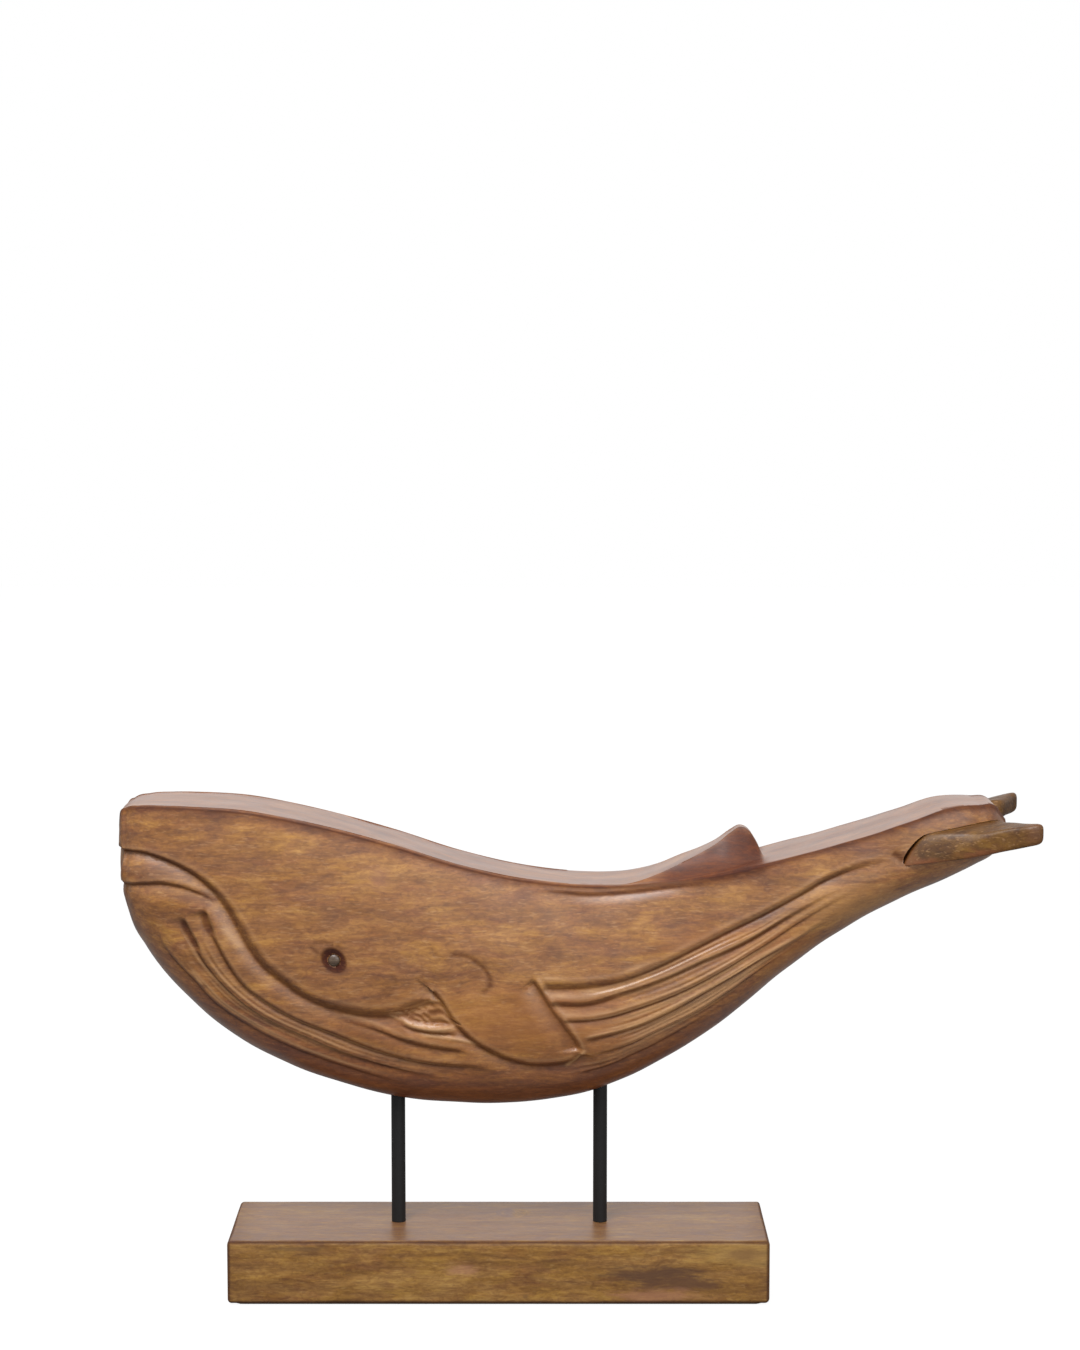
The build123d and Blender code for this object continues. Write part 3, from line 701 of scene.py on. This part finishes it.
for shaded_here in (np.where(above, 0.6, 0), fin_side):
    painted_shade = np.maximum(painted_shade, shaded_here)
for shade_here in (0.45 * fin_side, 0.7 * on_arris, 0.75 * fin_foot,
                   0.45 * bell(along - whale_low[0], 0.007)):
    hollow = np.maximum(hollow, shade_here)

# The ring of half sections, then the carving sunk along the normal
left = np.stack([along, -half_rings[:, :, 0], half_rings[:, :, 1]], axis=2)
right = left[:, -2:0:-1] * (1, -1, 1)
body = np.concatenate([left, right], axis=1)
ring_size = body.shape[1]
mirrored = np.concatenate([np.arange(ring_count), np.arange(ring_count - 2, 0, -1)])
tangent = np.gradient(body, axis=0)
around = np.roll(body, -1, axis=1) - np.roll(body, 1, axis=1)
normal = np.cross(around, tangent)
normal /= np.maximum(np.linalg.norm(normal, axis=2, keepdims=True), 1e-12)
body_depth = (cut_depth - lift)[:, mirrored]
tool_mark = 0.00008           # how deep the gouge's wander goes
tool_wander = sum(np.sin(body @ np.array(wave) + phase) for wave, phase in [
    ((90, 60, 140), 0.3), ((-60, 130, 190), 1.9), ((170, -90, 70), 3.3), ((40, 210, -120), 5.0)])
body_depth = body_depth + tool_mark * (tool_wander + 4)
body = body - normal * body_depth[:, :, None]

points = body.reshape(-1, 3)
index = np.arange(len(columns) * ring_size).reshape(len(columns), ring_size)
following = np.roll(index, -1, axis=1)
quads = np.stack([index[:-1], following[:-1], following[1:], index[1:]], axis=2).reshape(-1, 4)
faces = quads.tolist()
shades = {"hollow": hollow[:, mirrored].ravel(), "ridge": ridge[:, mirrored].ravel(),
          "painted_shade": painted_shade[:, mirrored].ravel()}
cap_rings = 6
bulge = 0.0012                # how far the nose and the tail's end swell out
for end, row in ((-1, 0), (1, len(columns) - 1)):
    rim = body[row]
    centre = rim.mean(axis=0)
    previous = index[row]
    for k in range(1, cap_rings + 1):
        shrink = 1 - k / (cap_rings + 1)
        ring = centre + (rim - centre) * shrink
        ring[:, 0] += end * bulge * (1 - shrink ** 3)
        current = len(points) + np.arange(ring_size)
        points = np.concatenate([points, ring])
        pairs = np.stack([previous, current, np.roll(current, -1), np.roll(previous, -1)], axis=1)
        faces += (pairs[:, ::-1] if end > 0 else pairs).tolist()
        for name in shades:
            shades[name] = np.concatenate([shades[name], shades[name][index[row]] * shrink])
        previous = current
    tip = len(points)
    points = np.concatenate([points, [centre + (end * bulge, 0, 0)]])
    for name in shades:
        shades[name] = np.append(shades[name], 0)
    fan = np.stack([previous, np.full(ring_size, tip), np.roll(previous, -1)], axis=1)
    faces += (fan[:, ::-1] if end > 0 else fan).tolist()

body_pith = (0, 150, 60)
whale_wood = stained_hardwood(
    "stained_whale_wood", ("#845530", "#a06c36", "#b88543"), body_pith,
    swirls=[((-24, -42, 222), 32, 0.25), ((-78, -42, 289), 22, -0.3)],
    smears=[((-77, -42, 288), (9, 20, 12), 0.4, "#80503a"),
            ((10, -42, 190), (150, 60, 34), 0.42, "#9c6024"),
            ((165, -42, 240), (90, 60, 22), 0.45, "#92571f"),
            ((235, -40, 268), (60, 40, 26), 0.35, "#b5864f")], coat=0.75)
whale = mesh_object("carved_whale", points, faces, whale_wood)
for name, values in shades.items():
    paint(whale, name, values)
whale_triangles = 184000      # aimed at; flat places give up more of theirs
whale.modifiers.new("thin", "DECIMATE").ratio = whale_triangles / (2 * len(quads))
settle(whale)
# Blind holes in the belly for the inserts, and deep holes for the eyes' pegs
eye_radius = (eye_high[0] - eye_low[0]) / 2
eye_length = eye_high[1] - eye_low[1]
glue_gap = 0.00015
insert_hole_radius = 0.00515
insert_overrun = 0.02         # how far the drill starts below an insert's foot, outside the belly
insert_end_play = 0.0002
eye_hole_depth = 0.03
sides = (("left", -1), ("right", 1))
holes = []
for end in post_places:
    insert_low, insert_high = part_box(end + "_insert")
    holes.append(drilled(post_places[end] + (0, 0, insert_low[2] - insert_overrun), upward,
                         insert_high[2] - insert_low[2] + insert_overrun + insert_end_play,
                         insert_hole_radius))
eye_feet = {}
for side, outward in sides:
    eye_feet[side] = np.array((eye_x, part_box(side + "_eye")[outward < 0][1], eye_z))
    holes.append(drilled(eye_feet[side], (0, outward, 0), eye_hole_depth, eye_radius + glue_gap))
cut(whale, holes)
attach(whale, "root")
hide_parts("whale_body")


# Tail flukes: shaped from a yellower board of the same wood, glued into seats in the tail with
# two turned beech dowels each. Their edges are only just broken, and a thin glue gap runs round
# the root; along part of it, on the tail, a dark line is painted as shade.
fluke_half_span = 0.0605
fluke_thickness = 0.021
right_fluke_lift = 0.004
# In thousandths: place along the half span, front and rear edge along the whale, their levels
# up its depth, and the thickness at both edges as parts of the fluke's
fluke_shares = np.array([
    (330, 880, 997, 850, 916, 950, 800), (560, 880, 998, 850, 916, 950, 800),
    (585, 881, 1004, 852, 919, 950, 800), (640, 892, 1010, 855, 922, 920, 790),
    (760, 938, 1018, 868, 925, 820, 760), (860, 972, 1024, 892, 928, 740, 720),
    (945, 1000, 1030, 912, 930, 680, 680), (985, 1009, 1028.5, 918, 930, 600, 600),
    (1000, 1013, 1025, 921, 930, 460, 460)]) / 1000
chord_angles = np.linspace(0, 2 * pi, 72, endpoint=False)
chord_power = 0.5
fluke_x, fluke_turn_z = (np.sign(way) * np.abs(way) ** chord_power
                         for way in (np.cos(chord_angles), np.sin(chord_angles)))


def fluke_rings(rows, outward, shrink):
    """Sections of a fluke from its seat to its tip, smaller by the shrinkage."""
    rings = []
    for span, front, rear, front_level, rear_level, front_share, rear_share in rows:
        front = whale_low[0] + front * whale_length + shrink
        rear = whale_low[0] + rear * whale_length - shrink
        lift_here = right_fluke_lift * ease((span - 0.54) / 0.1) if outward > 0 else 0.0
        front_z = whale_low[2] + front_level * whale_depth + lift_here * ease((span - 0.7) / 0.1)
        rear_z = whale_low[2] + rear_level * whale_depth + lift_here
        u = 0.5 + 0.5 * fluke_x
        half = fluke_thickness / 2 * (front_share + u * (rear_share - front_share)) - shrink
        # Near the flank the nose is cut back from above to a low point
        nose = 0.9 * np.clip(1 - u / 0.25, 0, 1) ** 2 * ease((0.9 - span) / 0.3)
        turn_z = (fluke_turn_z + 1) * (1 - nose) - 1
        ring = np.column_stack([front + u * (rear - front),
                                np.full(len(u), outward * span * fluke_half_span),
                                front_z + u * (rear_z - front_z) + turn_z * half])
        rings.append(ring if outward < 0 else ring[::-1])
    return rings


fluke_wood = stained_hardwood(
    "stained_fluke_wood", ("#533816", "#67451c", "#7d5922"), body_pith,
    smears=[((352, -60, 318), (9, 30, 30), 0.35, "#74492a"),
            # The next two patches darken the near fluke's lower part, as painted shade
            ((285, -40, 296), (28, 40, 7), 0.7, "#7a4729"),
            ((325, -50, 304), (28, 40, 6), 0.7, "#7a4729"),
            ((269, -38, 302), (10, 30, 14), 0.7, "#6e4426")], coat=0, seed=11)
dowel_wood = stained_hardwood("bare_beech", ("#a9844f", "#c09a63", "#d2b07a"), body_pith,
                              stain="#8a6237", pale_tint="#dcc090", seed=5)
root_share, edge_share = 0.33, 0.98
spans = np.concatenate([np.linspace(root_share, edge_share, 60)[:-1],
                        np.linspace(edge_share, 1.0, 6)])
fluke_rows = np.column_stack([spans, through(fluke_shares[:, 0], fluke_shares[:, 1:], spans)])
seat_rows = np.repeat(fluke_rows[:1], 2, axis=0)
seat_rows[1, 0] = 1.0
dowel_low, dowel_high = np.array(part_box("left_fluke_dowels"))
dowel_radius = 0.004
dowel_tip_radius = 0.0030
dowel_chamfer = 0.0008
dowel_play = 0.00008
dowel_length = dowel_high[1] - dowel_low[1]
dowel_ends = [(dowel_low[0] + dowel_radius, dowel_low[2] + dowel_radius),
              (dowel_high[0] - dowel_radius, dowel_high[2] - dowel_radius)]
dowel_profile = [(0, dowel_tip_radius), (dowel_chamfer, dowel_radius - dowel_play),
                 (dowel_length / 2, dowel_radius - dowel_play / 2),
                 (dowel_length - dowel_chamfer, dowel_radius - dowel_play),
                 (dowel_length, dowel_tip_radius)]
seats, sockets = [], []
for side, outward in sides:
    seats.append(lofted(fluke_rings(seat_rows, outward, 0.0)))
    inner_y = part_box(side + "_fluke_dowels")[outward < 0][1]
    dowel_points, dowel_faces, dowel_sockets = [], [], []
    for x, z in dowel_ends:
        foot = np.array((x, inner_y, z))
        peg_points, peg_faces = turned(foot, (0, outward, 0), dowel_profile)
        dowel_faces += [[v + sum(map(len, dowel_points)) for v in face] for face in peg_faces]
        dowel_points.append(peg_points)
        dowel_sockets.append(drilled(foot - (0, outward * glue_gap, 0), (0, outward, 0),
                                     dowel_length + 2 * glue_gap, dowel_radius + glue_gap))
    dowels = mesh_object(side + "_beech_dowels", np.concatenate(dowel_points), dowel_faces,
                         dowel_wood)
    fluke = mesh_object(side + "_carved_fluke",
                        *lofted(fluke_rings(fluke_rows, outward, glue_gap)), fluke_wood)
    cut(fluke, dowel_sockets)
    sockets += dowel_sockets
    for piece, node, slot in ((dowels, side + "_fluke_dowels", "dowel_wood"),
                              (fluke, side + "_fluke", "fluke_wood")):
        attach(piece, "root")
        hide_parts(node)
cut(whale, seats)
cut(whale, sockets)


# Eyes: turned pegs of a dark hardwood with a domed face, polished on the lathe.
# They are glued in drilled holes in the flanks' dishes.
eye_wood = stained_hardwood("dark_polished_eye_wood", ("#4f3f33", "#62503f", "#735f4b"),
                            body_pith, stain="#2c2018", pale_tint="#8a7764", seed=3.0)
eye_dome = 0.0016
eye_chamfer = 0.0006
dome_radius = eye_radius - 0.00005
eye_profile = [(0, eye_radius - eye_chamfer), (eye_chamfer, dome_radius)]
eye_profile += [(eye_length - eye_dome + eye_dome * sin(turn), dome_radius * cos(turn))
                for turn in np.linspace(0, pi / 2, 14)[:-1]]
for side, outward in sides:
    eye = mesh_object(side + "_domed_eye",
                      *turned(eye_feet[side], (0, outward, 0), eye_profile), eye_wood)
    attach(eye, "root")
    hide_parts(side + "_eye")


# Felt: a die-cut sheet of brown pressed wool, glued under the base, 5 mm in from its edges.
# The object rests on it, and it covers the counterbores.
def brown_wool_felt():
    """Pressed wool felt: matt and soft-edged, with fibres of under 1 mm lying every way."""
    material, tree, shader, fibre = speckled("brown_wool_felt", 1200.0, 4.0, "#54422f",
                                             "#75604a")
    bump = add(tree, "Bump", {"Height": fibre, "Strength": 0.6, "Distance": 0.0003})
    feed(tree, shader, {"Normal": bump, "Roughness": 0.95, "Sheen Weight": 0.3})
    return material


felt_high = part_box("base_felt")[1]
felt_corner = 0.004
fibre_band = 0.00035          # how far from the edge's middle fibres stand, up and down
outline = []
for sx, sy, first in ((1, 1, 0), (-1, 1, 90), (-1, -1, 180), (1, -1, 270)):
    for turn in np.radians(np.linspace(first, first + 90, 7)):
        outline.append((sx * (felt_high[0] - felt_corner) + felt_corner * cos(turn),
                        sy * (felt_high[1] - felt_corner) + felt_corner * sin(turn)))
outline = evenly(np.array(outline + outline[:1]), 240)[:-1]
# Rings from the middle of the underside, out and round the edge, to the middle of the top
felt_rings = []
for level, share in ((0.0, 0.3), (0.0, 0.7), (0.0, 0.97), (0.0002, 0.999), (0.0006, 1.0),
                     (0.0012, 1.0), (0.0015, 0.998), (0.0015, 0.97), (0.0015, 0.7), (0.0015, 0.3)):
    felt_rings.append([(x * share if share < 0.9 else x - np.sign(x) * felt_high[1] * (1 - share),
                        y * share, level) for x, y in outline])
felt = mesh_object("felt_sheet", *lofted(felt_rings), brown_wool_felt())


def fibres(piece, seed, per_square_metre, length, thickness, material):
    """Short bent fibres that stand off the sheet's cut edge: points spread over the side faces,
    a bent wire on each, and the wires given a body."""
    tree = bpy.data.node_groups.new("felt_fibres", "GeometryNodeTree")
    tree.interface.new_socket("Geometry", in_out="INPUT", socket_type="NodeSocketGeometry")
    sizes = {"Seed": seed, "Density": per_square_metre, "Length": length, "Thickness": thickness}
    slots = {key: tree.interface.new_socket(key, in_out="INPUT", socket_type=(
        "NodeSocketInt" if key == "Seed" else "NodeSocketFloat")) for key in sizes}
    tree.interface.new_socket("Geometry", in_out="OUTPUT", socket_type="NodeSocketGeometry")
    given = tree.nodes.new("NodeGroupInput").outputs
    axes = add(tree, "SeparateXYZ", {0: add(tree, "GeometryNodeInputNormal")})
    steep = add(tree, "Math", {0: axes.outputs[2]}, operation="ABSOLUTE")
    side = add(tree, "FunctionNodeCompare", {0: steep, 1: 0.5}, operation="LESS_THAN")
    spread = add(tree, "GeometryNodeDistributePointsOnFaces", {"Mesh": given["Geometry"],
                 "Selection": side, "Density": given["Density"], "Seed": given["Seed"]})
    # None so low or so high that its tip would pass the sheet's faces
    height = add(tree, "SeparateXYZ", {0: add(tree, "GeometryNodeInputPosition")})
    off_middle = add(tree, "Math", {0: height.outputs[2], 1: felt_high[2] / 2},
                     operation="SUBTRACT")
    far = add(tree, "Math", {0: off_middle}, operation="ABSOLUTE")
    outer = add(tree, "FunctionNodeCompare", {0: far, 1: fibre_band}, operation="GREATER_THAN")
    kept = add(tree, "GeometryNodeDeleteGeometry", {"Geometry": spread.outputs["Points"],
               "Selection": outer})
    reach = add(tree, "CombineXYZ", {2: given["Length"]})
    bend = add(tree, "CombineXYZ", {0: 0.0002, 1: 0.0001, 2: 0.0003})
    wire = add(tree, "GeometryNodeCurveQuadraticBezier", {"Resolution": 4, "Start": (0, 0, 0),
               "Middle": bend, "End": reach})
    spin = add(tree, "FunctionNodeRandomValue", {"Min": (-0.3, -0.3, 0.0),
               "Max": (0.3, 0.3, 6.283), "Seed": given["Seed"]}, data_type="FLOAT_VECTOR")
    turn = add(tree, "FunctionNodeRotateRotation", {0: spread.outputs["Rotation"], 1: spin},
               rotation_space="LOCAL")
    placed = add(tree, "GeometryNodeInstanceOnPoints", {"Points": kept, "Instance": wire,
                 "Rotation": turn})
    loose = add(tree, "GeometryNodeRealizeInstances", {0: placed})
    ring = add(tree, "GeometryNodeCurvePrimitiveCircle", {"Resolution": 3,
               "Radius": given["Thickness"]})
    body = add(tree, "GeometryNodeCurveToMesh", {"Curve": loose, "Profile Curve": ring,
               "Fill Caps": True})
    joined = add(tree, "GeometryNodeJoinGeometry", {0: body})
    tree.links.new(given["Geometry"], joined.inputs[0])
    dyed = add(tree, "GeometryNodeSetMaterial", {"Geometry": joined, "Material": material})
    add(tree, "NodeGroupOutput", {0: dyed})
    grown = piece.modifiers.new("fibres", "NODES")
    grown.node_group = tree
    for key, value in sizes.items():
        grown[slots[key].identifier] = value
    settle(piece)


fibres(felt, 4, 3500000.0, 0.0006, 0.00003, felt.data.materials[0])
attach(felt, "root")
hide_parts("base_felt")


# Studio: a pale floor, an even white surround and two soft lamps, with the camera standing
# where the photograph was taken from.
def pale_floor():
    """Matt paper. The camera sees it almost white, with a trace of the object's shadow."""
    material, tree, shader, _ = new_material("pale_floor_paper")
    camera_ray = add(tree, "LightPath").outputs["Is Camera Ray"]
    paper = add(tree, "Mix", {0: camera_ray, 6: linear("#8c8c8c"), 7: linear("#f4f4f4")},
                data_type="RGBA")
    feed(tree, shader, {"Base Color": paper, "Roughness": 0.9})
    seen = add(tree, "Math", {0: camera_ray, 1: 0.9}, operation="MULTIPLY")
    glow = add(tree, "Emission", {"Color": linear("#ffffff"), "Strength": 1.06})
    mixed = add(tree, "MixShader", {0: seen, 1: shader, 2: glow})
    output = next(node for node in tree.nodes if node.type == "OUTPUT_MATERIAL")
    feed(tree, output, {0: mixed})
    return material


floor_half = 6.0
floor = mesh_object("floor", [(-floor_half, -floor_half, 0), (floor_half, -floor_half, 0),
                              (floor_half, floor_half, 0), (-floor_half, floor_half, 0)],
                    [(0, 1, 2, 3)], pale_floor())

world = bpy.data.worlds.new("white_surround")
bpy.context.scene.world = world
world.use_nodes = True
sky = world.node_tree
sky.nodes.clear()
rays = add(sky, "LightPath").outputs
direct = add(sky, "Math", {0: rays["Is Camera Ray"], 1: rays["Is Glossy Ray"]},
             operation="MAXIMUM")
strength = add(sky, "MapRange", {0: direct, 3: 0.46, 4: 1.0})
surround = add(sky, "Background", {"Color": linear("#ffffff"), "Strength": strength})
add(sky, "OutputWorld", {0: surround})


def soft_lamp(name, place, aim, size, power):
    """A square softbox that looks at a point."""
    lamp = bpy.data.lights.new(name, "AREA")
    lamp.size, lamp.energy = size, power
    made = bpy.data.objects.new(name, lamp)
    bpy.context.scene.collection.objects.link(made)
    made.location = place
    made.rotation_euler = (Vector(aim) - Vector(place)).to_track_quat("-Z", "Y").to_euler()


lamp_aim, softbox_size = (0.03, 0, 0.2), 1.4
soft_lamp("key_softbox", (-0.5, -1.5, 2.5), lamp_aim, softbox_size, 82)
soft_lamp("fill_softbox", (1.2, -2.2, 0.9), lamp_aim, softbox_size, 16)

camera_data = bpy.data.cameras.new("photo_camera")
camera_data.lens = 83.71
camera_data.sensor_width = 36.0
camera_data.clip_end = 50.0
camera = bpy.data.objects.new("photo_camera", camera_data)
bpy.context.scene.collection.objects.link(camera)
camera.location = (0.0277, -2.0865, 0.6428)
camera_dip = 0.1072           # radians below level
camera.rotation_euler = (pi / 2 - camera_dip, 0, 0)
bpy.context.scene.camera = camera
bpy.context.scene.view_settings.view_transform = "Standard"
